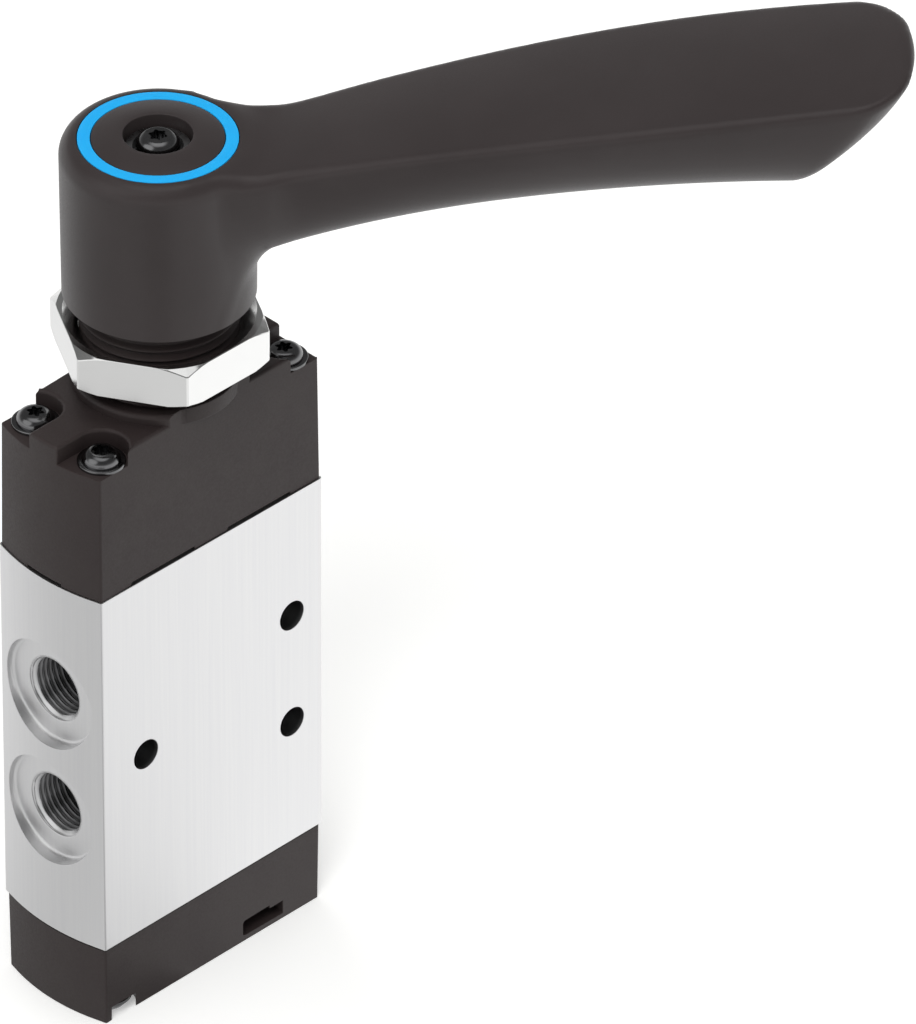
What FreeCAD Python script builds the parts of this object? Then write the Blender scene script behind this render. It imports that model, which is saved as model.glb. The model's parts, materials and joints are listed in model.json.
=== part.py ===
import FreeCAD, Part
import math
import os
from FreeCAD import Vector

os.makedirs("parts", exist_ok=True)

# A 5/2 way air valve worked by a swinging hand lever, millimetres.
# Origin: middle of the end cap's underside. +Z runs up the spool and the lever shaft.
# X runs across the port sides: two ports on the curved -X side, three on the flat +X side.
# Y runs through the thickness. The mounting holes go through along Y.

# valve body
body_width = 42.0          # over the corners, along X
body_thickness = 20.0      # along Y
body_height = 59.0
side_bulge = 1.54          # how far the curved port side stands out past its corners
edge_radius = 0.4          # upright corners
spool_bore_r = 6.5
spring_bore_r = 5.0        # narrow lower end of the bore
bore_floor_h = 5.0         # height of that narrow end

# ports, 1/8 inch parallel pipe thread
port_r = 4.864             # major radius of the thread
port_mouth_chamfer = 0.12
port_depth = 8.5
gallery_r = 2.2
left_port_pitch = 19.7
right_port_pitch = 17.0
spotface_r = 8.3
spotface_depth = 0.5       # below the narrow side's corners

# mounting holes
mount_hole_r = 2.25
pair_hole_edge = 5.87      # from the flat +X side
pair_hole_pitch = 18.14
single_hole_edge = 8.12    # from the -X side's corners

# end cap
end_cap_height = 12.8
end_gasket_thickness = 0.2
end_cap_inset = 0.3        # how far the moulded caps stand back from the aluminium
top_cap_inset = 0.2
draft_angle = 0.5
gasket_margin = 0.9        # a gasket's edge inside the outline
end_chamber_r = 4.8
end_chamber_floor = 2.2
core_wall = 1.9            # walls round the hollows in the end cap's underside
core_depth = 9.8
core_edge = 8.8            # hollow's outer wall from the narrow side's corners
core_corner_r = 1.0
label_slot_width = 7.8
label_slot_height = 2.6
label_slot_edge = 11.3     # slot's middle from the flat +X side
label_slot_z = 2.2
label_slot_depth = 3.2
label_slot_wall = 1.1      # left between the slot and the hollow behind it
label_slot_step = 0.5      # slot's roof is this much lower over its outer part
label_slot_step_width = 2.6
label_slot_corner_r = 0.5

# cover screws, M3 with a flange under a domed six-lobe head
screw_edge_x = 3.75        # screw axis from the narrow side's corners
screw_edge_y = 3.6         # and from the wide faces
screw_r = 1.45
screw_clearance = 0.15
tapped_clearance = 0.05
head_flange_r = 3.35
head_flange_height = 0.5
head_dome_r = 2.85
head_dome_height = 1.4
head_flat_r = 1.9
drive_r = 1.25             # six-lobe socket
drive_depth = 1.1
top_screw_length = 29.5
end_screw_length = 18.0
head_recess_gap = 0.35     # round the head in its pocket
end_head_sink = 0.3        # heads of the lower screws sit this far above the underside
end_recess_gap = 0.55      # round the lower heads on the curved side, open at the wide faces
closed_recess_gap = 0.2    # on the flat side, where a whole wall stands round them
flat_side_shift_x = 0.65   # so those two screws stand nearer the middle
flat_side_shift_y = 0.8

# top housing
housing_height = 22.7      # body top to the housing's flat top
pocket_floor_height = 20.0
top_step_inset = 0.5       # flat top stands back on the rear and on the +X side
pocket_channel_y = 2.72    # half width of the strip left between two pockets
joint_slot_height = 0.4
joint_slot_depth = 0.8
joint_slot_start = 3.2
joint_slot_end = 15.0
top_gasket_thickness = 0.3
gasket_pocket_gap = 0.1    # round the gasket in its recess
collar_flange_r = 12.2
collar_flange_height = 1.5
collar_flange_round = 0.7
collar_r = 11.0            # M22 x 1.5 thread for panel mounting
collar_top = 36.6          # above the body
collar_chamfer = 0.6
cavity_r = 7.4
cavity_height = 17.0
guide_slot_half = 1.3
guide_slot_r = 8.6
detent_travel = 0.8        # room behind the detent strip
detent_anchor = 1.2        # length of strip held at each end
detent_pocket_half_y = 6.0

# panel nut
nut_flats = 26.8
nut_height = 6.1
nut_bottom = 27.2          # above the body
nut_bore_clearance = 0.06
nut_countersink_r = 13.2
nut_countersink_depth = 1.9
nut_chamfer_top = 0.8
nut_chamfer_bottom = 0.65

# shaft, cam and what carries them
shaft_r = 5.0
bush_wall = 1.4
bush_length = 10.5
running_gap = 0.03
shaft_hole_gap = 0.2       # round the shaft in the housing, away from the bush
cam_r = 7.0
cam_top_gap = 0.05
cam_washer_thickness = 0.8
cam_height = 7.4
cam_hole_r = 3.6
cam_hole_over_pin = 1.2
ramp_overrun = 1.5         # ramp cut, past the cam's inner and outer radius
stroke = 2.8               # spool travel for the full swing
swing = 90.0               # lever travel, degrees
ramp_margin = 25.0         # ramp runs on past both ends of the swing, degrees
seal_ring_wire_r = 0.9
seal_squeeze = 0.04
seal_groove_gap = 0.09     # above and below the ring
seal_roof_gap = 2.25       # ring's middle above the cavity's roof
square_side = 6.9          # shaft end that drives the lever
square_gap = 0.05
square_end_gap = 0.3       # shaft's end below the insert's top
clamp_hole_r = 2.0
clamp_hole_depth = 11.0
detent_notch_r = 1.1
detent_notch_depth = 0.5
detent_strip = 0.4
detent_width = 3.0
detent_gap = 0.05
detent_over_pin = 0.3      # strip's room above the cross pin

# tappet, spool and seals
pin_r = 1.2
pin_gap = 0.05
pin_end_gap = 0.3
tappet_stem_r = 3.45
tappet_stem_over_pin = 0.9
tappet_foot_height = 3.4
tappet_foot_drop = 1.25    # foot's top below the pin
spool_r = 4.0
groove_r = 2.6
groove_land = 0.69         # land left at each end of a waist, inside a chamber
spool_gap = 0.03
seal_thickness = 2.0
seal_count = 6
sleeve_length = 6.7        # upper end of the bore, above the seals
bore_spacer_length = 1.7   # lower end, below them
spacer_wall = 1.3
spacer_window_r = 2.6
spacer_rim = 0.6           # least wall above and below a window
liner_gap = 0.03
spring_seat_height = 1.5
spring_seat_r = 4.3
spring_seat_gap = 1.0      # seat's top above the body's lower face, spool down
spring_wire_r = 0.35
spring_mean_r = 3.4
spring_half_turns = 12

# lever
lever_gap = 0.4            # hub above the collar
slide_washer_thickness = 0.35
slide_washer_inset = 1.5   # inside the collar's edge
insert_lift = 0.4          # insert above the hub's lower face
hub_r = 13.3
hub_height = 24.45
hub_top_round = 2.2
arm_length = 101.0         # shaft axis to tip
arm_angle = -45.0          # at rest, from +X
neck_reach = 19.0          # where the arm is narrowest
neck_half_width = 9.0
palm_reach = 78.0          # where it is widest
palm_half_width = 13.5
neck_drop = 0.7            # arm's top below the hub's top beside the hub
tip_rise = 14.15           # tip above the hub's top
tip_slope = 0.085
arm_bow = 0.00105
waist_depth = 11.1
waist_reach = 46.0
depth_growth = 0.0018
arm_crown = 0.06           # crown height as a share of the half width
arm_fullness = 0.55        # how square the arm's sides turn under, 0 to 1
arm_start = 4.0            # arm begins this far from the axis, inside the hub
arm_overrun = 2.0          # and runs on this far past the tip before it is trimmed
arm_stations = 9
crease_round = 0.6         # edge between the arm's top and sides
edge_match = 0.1           # how near an edge's middle lies to the line it is picked by
bottom_share = 0.5         # flat underside as a share of the half width
underside_sweep = 2.5      # hollow where the arm leaves the hub's wall
tip_land = 1.65            # upright rim of the tip above the slanting cut
tip_corner_r = 7.5
tip_bulge = 0.9
tip_cut_back = 18.4        # underside ends this far short of the tip
tip_cut_lead = 0.5         # slanting cut starts this far past the tip
insert_r = 7.5
insert_top_gap = 3.35      # insert's top below the hub's top
washer_r = 4.4             # cupped washer that the lever screw's head sits in
washer_thickness = 0.9
washer_rim_height = 1.2    # cup's rim above its floor
washer_rim = 0.95          # rim's width
washer_gap = 0.1           # round the screw
cover_r = 9.04
cover_thickness = 1.7
cover_dome = 0.55
cover_hole_r = 4.75
ring_r = 10.97
ring_height = 1.5
ring_proud = 0.02
lever_head_r = 3.0
lever_head_flat_r = 1.83
lever_head_height = 2.85
lever_head_side = 1.3      # upright part of the head, below its dome
lever_screw_r = 1.95
lever_screw_length = 10.0
lever_drive_r = 1.3

past = 1.0                 # how far cutting tools reach past a face

# derived levels
body_bottom = end_cap_height + end_gasket_thickness
body_top = body_bottom + body_height
middle_z = body_bottom + body_height / 2
half_x = body_width / 2
half_y = body_thickness / 2
screw_x = half_x - screw_edge_x
screw_y = half_y - screw_edge_y
spotface_x = half_x - spotface_depth
pair_hole_x = half_x - pair_hole_edge
single_hole_x = half_x - single_hole_edge
label_slot_x = half_x - label_slot_edge
flat_top = body_top + housing_height
pocket_floor = body_top + pocket_floor_height
collar_end = body_top + collar_top
hub_bottom = collar_end + lever_gap
hub_top = hub_bottom + hub_height
cavity_roof = body_top + cavity_height
cam_roof = cavity_roof - cam_washer_thickness - cam_top_gap
cam_floor = cam_roof - cam_height
ramp_rise = stroke / math.radians(swing)
ramp_angle = swing + 2 * ramp_margin
ramp_rest = cam_floor + ramp_rise * math.radians(swing + ramp_margin)
ramp_cosine = 1 / math.hypot(1, ramp_rise / cam_hole_r)
pin_z = ramp_rest - pin_r / ramp_cosine - pin_gap
foot_top = pin_z - pin_r - tappet_foot_drop
spool_top = foot_top - tappet_foot_height
bore_shoulder = body_bottom + bore_floor_h
lowest_seal = bore_shoulder + bore_spacer_length + seal_thickness / 2
highest_seal = body_top - sleeve_length - seal_thickness / 2
seal_pitch = (highest_seal - lowest_seal) / (seal_count - 1)
insert_top = hub_top - insert_top_gap
washer_top = insert_top + washer_thickness


def cylinder(r, z0, z1, x=0.0, y=0.0):
    return Part.makeCylinder(r, z1 - z0, Vector(x, y, z0))


def tube(r_out, r_in, z0, z1):
    return cylinder(r_out, z0, z1).cut(cylinder(r_in, z0 - past, z1 + past))


def cone(r0, r1, z0, z1, x=0.0, y=0.0):
    return Part.makeCone(r0, r1, z1 - z0, Vector(x, y, z0))


def box(x0, x1, y0, y1, z0, z1):
    return Part.makeBox(x1 - x0, y1 - y0, z1 - z0, Vector(x0, y0, z0))


def along_x(r, x0, x1, y, z):
    return Part.makeCylinder(r, x1 - x0, Vector(x0, y, z), Vector(1, 0, 0))


def along_y(r, y0, y1, x, z):
    return Part.makeCylinder(r, y1 - y0, Vector(x, y0, z), Vector(0, 1, 0))


def fuse(shapes):
    first, rest = shapes[0], shapes[1:]
    joined = first.fuse(rest) if rest else first
    return joined.removeSplitter()


def save(shape, node):
    shape.exportStep("parts/" + node + ".step")
    print(node, len(shape.Solids), round(shape.Volume, 1), shape.isValid())


# Outline shared by the body, both caps and the gaskets: a bowed -X side, three flat sides.
def outline(inset, z):
    x, y = half_x - inset, half_y - inset
    bow = Part.Arc(Vector(-x, y, z), Vector(-x - side_bulge, 0, z), Vector(-x, -y, z)).toShape()
    front = Part.makeLine(Vector(-x, -y, z), Vector(x, -y, z))
    side = Part.makeLine(Vector(x, -y, z), Vector(x, y, z))
    rear = Part.makeLine(Vector(x, y, z), Vector(-x, y, z))
    return Part.Wire([bow, front, side, rear])


def outline_block(inset0, z0, inset1, z1):
    block = Part.makeLoft([outline(inset0, z0), outline(inset1, z1)], True, True)
    upright = [e for e in block.Edges if abs(e.BoundBox.ZLength - (z1 - z0)) < 1e-6]
    return block.makeFillet(edge_radius, upright)


def screw_places():
    return [(sx * screw_x, sy * screw_y) for sx in (-1, 1) for sy in (-1, 1)]


# Lower screws: as above on the curved side, nearer the middle on the flat side.
def end_screw_places():
    near_x, near_y = screw_x - flat_side_shift_x, screw_y - flat_side_shift_y
    return [(x, sy * y) for x, y in ((-screw_x, screw_y), (near_x, near_y)) for sy in (-1, 1)]


def six_lobe(r, z0, z1, x=0.0, y=0.0):
    lobes = [cylinder(0.78 * r, z0, z1, x, y)]
    for i in range(6):
        a = math.radians(60 * i)
        lobes.append(cylinder(0.2 * r, z0, z1, x + 0.8 * r * math.cos(a), y + 0.8 * r * math.sin(a)))
    return fuse(lobes)


# Domed head standing on z, shank pointing down.
def domed_screw(z, shank_r, length, flange_r, flange_h, dome_r, dome_h, flat_r, socket_r, socket_depth):
    dome_base, dome_top = z + flange_h, z + flange_h + dome_h
    waist = Vector((dome_r + flat_r) / 2 + 0.24 * (dome_r - flat_r), 0, dome_base + 0.62 * dome_h)
    rim = Part.Arc(Vector(dome_r, 0, dome_base), waist, Vector(flat_r, 0, dome_top)).toShape()
    edges = [rim,
             Part.makeLine(Vector(flat_r, 0, dome_top), Vector(0, 0, dome_top)),
             Part.makeLine(Vector(0, 0, dome_top), Vector(0, 0, dome_base)),
             Part.makeLine(Vector(0, 0, dome_base), Vector(dome_r, 0, dome_base))]
    dome = Part.Face(Part.Wire(edges)).revolve(Vector(0, 0, 0), Vector(0, 0, 1), 360)
    pieces = [dome, cylinder(shank_r, z - length, z)]
    if flange_h > 0:
        pieces.append(cylinder(flange_r, z, dome_base))
    return fuse(pieces).cut(six_lobe(socket_r, dome_top - socket_depth, dome_top + past))


def cover_screw(length):
    return domed_screw(0, screw_r, length, head_flange_r, head_flange_height, head_dome_r,
                       head_dome_height, head_flat_r, drive_r, drive_depth)


def seal_levels():
    return [lowest_seal + i * seal_pitch for i in range(seal_count)]


# Middle of each chamber between two seals, lowest first.
def chamber_levels():
    return [z + seal_pitch / 2 for z in seal_levels()[:-1]]


# Body with its bore, ports, mounting holes and tapped corners.
def valve_body():
    body = outline_block(0, body_bottom, 0, body_top)
    cuts = [cylinder(spool_bore_r, bore_shoulder, body_top + past),
            cylinder(spring_bore_r, body_bottom - past, body_top)]
    for side in (-1, 1):
        z = middle_z + side * left_port_pitch / 2
        cuts.append(along_x(spotface_r, -half_x - 2 * side_bulge, -spotface_x, 0, z))
        cuts.append(port_tool(-1, spotface_x, z))
        cuts.append(along_y(mount_hole_r, -half_y - past, half_y + past, pair_hole_x,
                            middle_z + side * pair_hole_pitch / 2))
    for step in (-1, 0, 1):
        cuts.append(port_tool(1, half_x, middle_z + step * right_port_pitch))
    cuts.append(along_y(mount_hole_r, -half_y - past, half_y + past, -single_hole_x, middle_z))
    r = screw_r + tapped_clearance
    for x, y in screw_places():
        cuts.append(cylinder(r, pocket_floor - top_screw_length - past, body_top + past, x, y))
    for x, y in end_screw_places():
        cuts.append(cylinder(r, body_bottom - past, end_screw_seat() + end_screw_length + past, x, y))
    return body.cut(cuts)


# Threaded hole, its mouth chamfer and the gallery behind it. side is -1 or 1 along X.
def port_tool(side, face, z):
    mouth = Part.makeCone(port_r + 2 * port_mouth_chamfer, port_r, 2 * port_mouth_chamfer,
                          Vector(side * (face + port_mouth_chamfer), 0, z), Vector(-side, 0, 0))
    thread = Part.makeCylinder(port_r, port_depth + past, Vector(side * (face + past), 0, z),
                               Vector(-side, 0, 0))
    gallery = Part.makeCylinder(gallery_r, face, Vector(side * face, 0, z), Vector(-side, 0, 0))
    return fuse([mouth, thread, gallery])


def end_screw_seat():
    return end_head_sink + head_flange_height + head_dome_height


def inset_after(height, inset):
    return inset + height * math.tan(math.radians(draft_angle))


# Lower cover: spring chamber, sunk screw heads, moulded hollows and a label slot.
def end_cap():
    cap = outline_block(inset_after(end_cap_height, end_cap_inset), 0, end_cap_inset, end_cap_height)
    cuts = [cylinder(end_chamber_r, end_chamber_floor, end_cap_height + past)]
    for x, y in end_screw_places():
        gap = end_recess_gap if x < 0 else closed_recess_gap
        cuts.append(cylinder(head_flange_r + gap, -past, end_screw_seat(), x, y))
        cuts.append(cylinder(screw_r + screw_clearance, -past, end_cap_height + past, x, y))
    wall = half_y - end_cap_inset
    inner, outer = end_chamber_r + core_wall, half_x - core_edge
    behind_slot = wall - label_slot_depth - label_slot_wall
    for x0, x1, front in ((-outer, -inner, wall - core_wall), (inner, outer, behind_slot)):
        core = box(x0, x1, -front, wall - core_wall, -past, core_depth)
        cuts.append(core.makeFillet(core_corner_r, upright_edges(core)))
    cuts += label_slot(wall)
    return cap.cut(cuts)


# Blind slot in the front wall, rounded at its inner end, its roof stepped down at the outer end.
def label_slot(wall):
    x0, x1 = label_slot_x - label_slot_width / 2, label_slot_x + label_slot_width / 2
    z0, z1 = label_slot_z - label_slot_height / 2, label_slot_z + label_slot_height / 2
    step = x1 - label_slot_step_width
    inner = box(x0, step + past, -half_y, -wall + label_slot_depth, z0, z1)
    ends = [e for e in inner.Edges if e.BoundBox.XMax < x0 + edge_match and e.BoundBox.ZLength < edge_match]
    inner = inner.makeFillet(label_slot_corner_r, ends)
    inner = inner.cut(box(step, step + 2 * past, -half_y - past, half_y, z0 - past, z1 + past))
    outer = box(step, x1, -half_y, -wall + label_slot_depth, z0, z1 - label_slot_step)
    return [inner, outer]


def upright_edges(solid):
    height = solid.BoundBox.ZLength
    return [e for e in solid.Edges if abs(e.BoundBox.ZLength - height) < 1e-6]


# Thin sheet that follows the outline, with holes for the bore and the screws.
def gasket(z0, z1, hole_r, places):
    sheet = outline_block(gasket_margin, z0, gasket_margin, z1)
    cuts = [cylinder(hole_r, z0 - past, z1 + past)]
    for x, y in places:
        cuts.append(cylinder(screw_r + screw_clearance, z0 - past, z1 + past, x, y))
    return sheet.cut(cuts)


# Moulded housing: cam cavity, screw pockets, threaded collar for the panel nut.
def top_housing():
    low = outline_block(top_cap_inset, body_top, inset_after(pocket_floor_height, top_cap_inset),
                        pocket_floor)
    upper_inset = inset_after(pocket_floor_height, top_cap_inset)
    high = outline_block(upper_inset, pocket_floor, inset_after(housing_height, top_cap_inset), flat_top)
    reach = 2 * body_width
    step_x, step_y = half_x - upper_inset - top_step_inset, half_y - upper_inset - top_step_inset
    high = high.common(box(-reach, step_x, -reach, step_y, pocket_floor, flat_top))
    flange = cylinder(collar_flange_r, flat_top - past, flat_top + collar_flange_height)
    rim = [e for e in flange.Edges if e.BoundBox.ZMin > flat_top and len(e.Vertexes) == 1]
    flange = flange.makeFillet(collar_flange_round, rim)
    front_y = -half_y + inset_after(housing_height, top_cap_inset)
    flange = flange.common(box(-reach, reach, front_y, step_y, 0, 2 * flat_top))
    collar = cylinder(collar_r, flat_top - past, collar_end)
    collar = collar.makeChamfer(collar_chamfer, [e for e in collar.Edges
                                                 if e.BoundBox.ZMin > collar_end - 0.1])
    cuts = [cylinder(cavity_r, body_top - past, cavity_roof)]
    pocket_r = head_flange_r + head_recess_gap
    for x, y in screw_places():
        out = math.copysign(1, x)
        deep = math.copysign(1, y)
        cuts.append(cylinder(pocket_r, pocket_floor, flat_top + past, x, y))
        x0, x1 = sorted((x, out * reach))
        y0, y1 = sorted((deep * pocket_channel_y, deep * reach))
        cuts.append(box(x0, x1, y0, y1, pocket_floor, flat_top + past))
        cuts.append(cylinder(screw_r + screw_clearance, body_top - past, pocket_floor + past, x, y))
    cuts += joint_slots()
    cuts.append(outline_block(gasket_margin - gasket_pocket_gap, body_top - past,
                              gasket_margin - gasket_pocket_gap, body_top + top_gasket_thickness))
    cuts.append(box(-guide_slot_r, guide_slot_r, -guide_slot_half, guide_slot_half,
                    body_top - past, detent_bottom()))
    held_x = detent_face_x() + detent_strip + detent_gap
    free_y = detent_pocket_half_y - detent_anchor
    cuts.append(box(0, held_x, -detent_pocket_half_y, detent_pocket_half_y, detent_bottom(), cam_roof))
    cuts.append(box(0, held_x + detent_travel, -free_y, free_y, detent_bottom(), cam_roof))
    cuts.append(cylinder(shaft_r + shaft_hole_gap, body_top, collar_end + past))
    cuts.append(cylinder(bush_outer_r(), collar_end - bush_length, collar_end + past))
    cuts.append(cylinder(seal_groove_r(), seal_ring_z() - seal_ring_wire_r - seal_groove_gap,
                         seal_ring_z() + seal_ring_wire_r + seal_groove_gap))
    return fuse([low, high, flange, collar]).cut(cuts)


# Shallow gaps in the lower rim where the housing meets the body.
def joint_slots():
    cuts = []
    top = body_top + joint_slot_height
    deep = half_y - top_cap_inset - joint_slot_depth
    for sx in (-1, 1):
        for sy in (-1, 1):
            x0, x1 = sorted((sx * joint_slot_start, sx * joint_slot_end))
            y0, y1 = sorted((sy * deep, sy * 2 * half_y))
            cuts.append(box(x0, x1, y0, y1, body_top - past, top))
    side_x = half_x + side_bulge - top_cap_inset - joint_slot_depth
    cuts.append(box(-2 * half_x, -side_x, -joint_slot_start, joint_slot_start, body_top - past, top))
    return cuts


def bush_outer_r():
    return shaft_r + running_gap + bush_wall


def seal_ring_z():
    return cavity_roof + seal_roof_gap


def seal_groove_r():
    return shaft_r + 2 * seal_ring_wire_r + 2 * seal_squeeze


def detent_face_x():
    return cam_r + detent_gap


def detent_bottom():
    return pin_z + pin_r + detent_over_pin


# Bush pressed into the collar, the shaft turns in it.
def shaft_bush():
    return tube(bush_outer_r(), shaft_r + running_gap, collar_end - bush_length, collar_end)


def shaft_seal():
    return Part.makeTorus(shaft_r + seal_ring_wire_r + seal_squeeze, seal_ring_wire_r,
                          Vector(0, 0, seal_ring_z()))


def cam_washer():
    return tube(cavity_r - running_gap, shaft_r + running_gap, cavity_roof - cam_washer_thickness,
                cavity_roof)


# Shaft and cam in one: square end, journal, and a cam head with two ramps on its lower face.
def cam_shaft():
    head = cylinder(cam_r, cam_floor, cam_roof)
    journal = cylinder(shaft_r, cam_roof - past, hub_bottom + insert_lift)
    half = square_side / 2
    square = box(-half, half, -half, half, hub_bottom, insert_top - square_end_gap).common(
        cylinder(shaft_r, hub_bottom, insert_top))
    shaft = fuse([head, journal, square])
    cuts = [cylinder(cam_hole_r, cam_floor - past, pin_z + pin_r + cam_hole_over_pin),
            cylinder(clamp_hole_r, insert_top - clamp_hole_depth, insert_top)]
    for start in (0, 180):
        cuts.append(ramp_tool(start))
    for turn in (0, -swing):
        cuts.append(notch_tool(turn))
    return shaft.cut(cuts)


def notch_tool(turn):
    x = cam_r + detent_notch_r - detent_notch_depth
    notch = cylinder(detent_notch_r, cam_floor - past, cam_roof + past, x, 0)
    notch.rotate(Vector(0, 0, 0), Vector(0, 0, 1), turn)
    return notch


# Everything under one helical ramp, swept as a radial rectangle that climbs as it turns.
def ramp_tool(start):
    first = math.radians(start - swing - ramp_margin)
    turn = math.radians(ramp_angle)
    rise = ramp_rise * turn
    low = ramp_rest - ramp_rise * math.radians(swing + ramp_margin)
    spine_r = (cam_hole_r + cam_r) / 2
    spine = Part.makeHelix(2 * math.pi * ramp_rise, rise, spine_r)
    spine.rotate(Vector(0, 0, 0), Vector(0, 0, 1), math.degrees(first))
    spine.translate(Vector(0, 0, low))
    r0, r1 = cam_hole_r - ramp_overrun, cam_r + ramp_overrun
    c, s = math.cos(first), math.sin(first)
    corners = [Vector(r * c, r * s, z) for r, z in ((r0, low), (r1, low), (r1, low - 2 * cam_height),
                                                    (r0, low - 2 * cam_height), (r0, low))]
    pipe = Part.BRepOffsetAPI.MakePipeShell(Part.Wire(spine.Edges))
    pipe.setBiNormalMode(Vector(0, 0, 1))
    pipe.add(Part.makePolygon(corners), False, False)
    pipe.build()
    pipe.makeSolid()
    return pipe.shape()


# Sprung strip whose nose drops into a notch at each end of the swing.
def detent_spring():
    x0 = detent_face_x()
    z0 = detent_bottom() + detent_gap
    strip = box(x0, x0 + detent_strip, -detent_pocket_half_y, detent_pocket_half_y, z0, z0 + detent_width)
    nose_x = cam_r + detent_notch_r - detent_notch_depth
    nose = cylinder(detent_notch_r - detent_gap, z0, z0 + detent_width, nose_x, 0)
    nose = nose.common(box(0, x0 + detent_strip, -body_width, body_width, z0, z0 + detent_width))
    return fuse([strip, nose])


def tappet():
    stem = cylinder(tappet_stem_r, foot_top - past, pin_z + pin_r + tappet_stem_over_pin)
    foot = cylinder(cavity_r - running_gap, spool_top, foot_top)
    return fuse([stem, foot]).cut(along_x(pin_r, -cam_r, cam_r, 0, pin_z))


def roller_pin():
    reach = guide_slot_r - pin_end_gap
    return along_x(pin_r, -reach, reach, 0, pin_z)


# Spool with a waist in every second chamber, and lands that the seals run on.
def spool():
    rod = cylinder(spool_r, seat_top(), spool_top)
    half = (seal_pitch - seal_thickness) / 2 - groove_land
    waists = [tube(spool_r + past, groove_r, z - half, z + half) for z in chamber_levels()[::2]]
    return rod.cut(waists)


def seat_top():
    return body_bottom + spring_seat_gap + stroke


def spring_seat():
    return cylinder(spring_seat_r, seat_top() - spring_seat_height, seat_top())


# Coiled spring: tilted half rings whose ends meet in the plane y = 0.
def return_spring():
    low = end_chamber_floor + spring_wire_r
    high = seat_top() - spring_seat_height - spring_wire_r
    rise = (high - low) / spring_half_turns
    ring_r = math.hypot(spring_mean_r, rise / 2)
    tilt = math.degrees(math.asin(rise / 2 / ring_r))
    coils = []
    for i in range(spring_half_turns):
        coil = Part.makeTorus(ring_r, spring_wire_r, Vector(0, 0, 0), Vector(0, 0, 1), -180, 180, 180)
        coil.rotate(Vector(0, 0, 0), Vector(0, 1, 0), tilt)
        coil.rotate(Vector(0, 0, 0), Vector(0, 0, 1), 180 * i)
        coil.translate(Vector(0, 0, low + (i + 0.5) * rise))
        coils.append(coil)
    return coils[0].fuse(coils[1:])


def spool_seals():
    rings = []
    for z in seal_levels():
        rings.append(tube(spool_bore_r - liner_gap, spool_r + spool_gap, z - seal_thickness / 2,
                          z + seal_thickness / 2))
    return Part.makeCompound(rings)


# Ported rings that hold the seals apart, each with cross windows for the air.
def seal_spacers():
    rings = []
    half = (seal_pitch - seal_thickness) / 2
    window = min(spacer_window_r, half - spacer_rim)
    for z in chamber_levels():
        ring = tube(spool_bore_r - liner_gap, spool_bore_r - spacer_wall, z - half, z + half)
        rings.append(ring.cut([along_x(window, -half_x, half_x, 0, z),
                               along_y(window, -half_y, half_y, 0, z)]))
    return Part.makeCompound(rings)


def bore_sleeve():
    return tube(spool_bore_r - liner_gap, spool_r + spool_gap, body_top - sleeve_length, body_top)


def bore_spacer():
    return tube(spool_bore_r - liner_gap, spool_r + spool_gap, bore_shoulder,
                bore_shoulder + bore_spacer_length)


# Hexagon nut with both faces turned to a chamfer and a wide countersink on top.
def panel_nut():
    z0 = body_top + nut_bottom
    z1 = z0 + nut_height
    corner_r = nut_flats / math.sqrt(3)
    points = [Vector(corner_r * math.cos(math.radians(a)), corner_r * math.sin(math.radians(a)), z0)
              for a in range(0, 361, 60)]
    nut = Part.Face(Part.makePolygon(points)).extrude(Vector(0, 0, nut_height))
    flat_r = nut_flats / 2
    slope_r = corner_r + (corner_r - flat_r)
    limit = [cone(flat_r, slope_r, z0, z0 + 2 * nut_chamfer_bottom),
             cylinder(slope_r, z0 + 2 * nut_chamfer_bottom, z1 - 2 * nut_chamfer_top),
             cone(slope_r, flat_r, z1 - 2 * nut_chamfer_top, z1)]
    nut = nut.common(fuse(limit))
    bore_r = collar_r + nut_bore_clearance
    return nut.cut([cylinder(bore_r, z0 - past, z1 + past),
                    cone(bore_r, nut_countersink_r, z1 - nut_countersink_depth, z1)])


def slide_washer():
    return tube(collar_r - slide_washer_inset, shaft_r + running_gap, collar_end,
                collar_end + slide_washer_thickness)


# Arm shape, measured outwards from the shaft axis.
def arm_half_width(u):
    if u < neck_reach:
        return neck_half_width + (hub_r - neck_half_width) * (1 - u / neck_reach) ** 2
    share = (u - neck_reach) / (palm_reach - neck_reach)
    return neck_half_width + (palm_half_width - neck_half_width) * math.sin(math.pi / 2 * share)


def arm_top(u):
    left = arm_length - u
    rise = hub_top + tip_rise - tip_slope * left - arm_bow * left ** 2
    return max(rise, hub_top - neck_drop)


# Height of the arm's crowned top, y off its middle line.
def arm_surface(u, y):
    w = arm_half_width(u)
    return arm_top(u) + arm_crown * w * min(1, u / neck_reach) * (1 - (y / w) ** 2)


def arm_depth(u):
    return waist_depth + depth_growth * (u - waist_reach) ** 2


def arm_section(u):
    w, z, d = arm_half_width(u), arm_top(u), arm_depth(u)
    b = bottom_share * w
    top = Part.Arc(Vector(u, w, z), Vector(u, 0, arm_surface(u, 0)), Vector(u, -w, z)).toShape()
    edges = [top]
    for side in (-1, 1):
        curve = Part.BezierCurve()
        poles = [Vector(u, side * w, z), Vector(u, side * w, z - arm_fullness * d),
                 Vector(u, side * (b + arm_fullness * (w - b)), z - d), Vector(u, side * b, z - d)]
        curve.setPoles(poles)
        edges.append(curve.toShape())
        if side < 0:
            edges.append(Part.makeLine(Vector(u, -b, z - d), Vector(u, b, z - d)))
    return Part.Wire(Part.__sortEdges__(edges))


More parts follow.
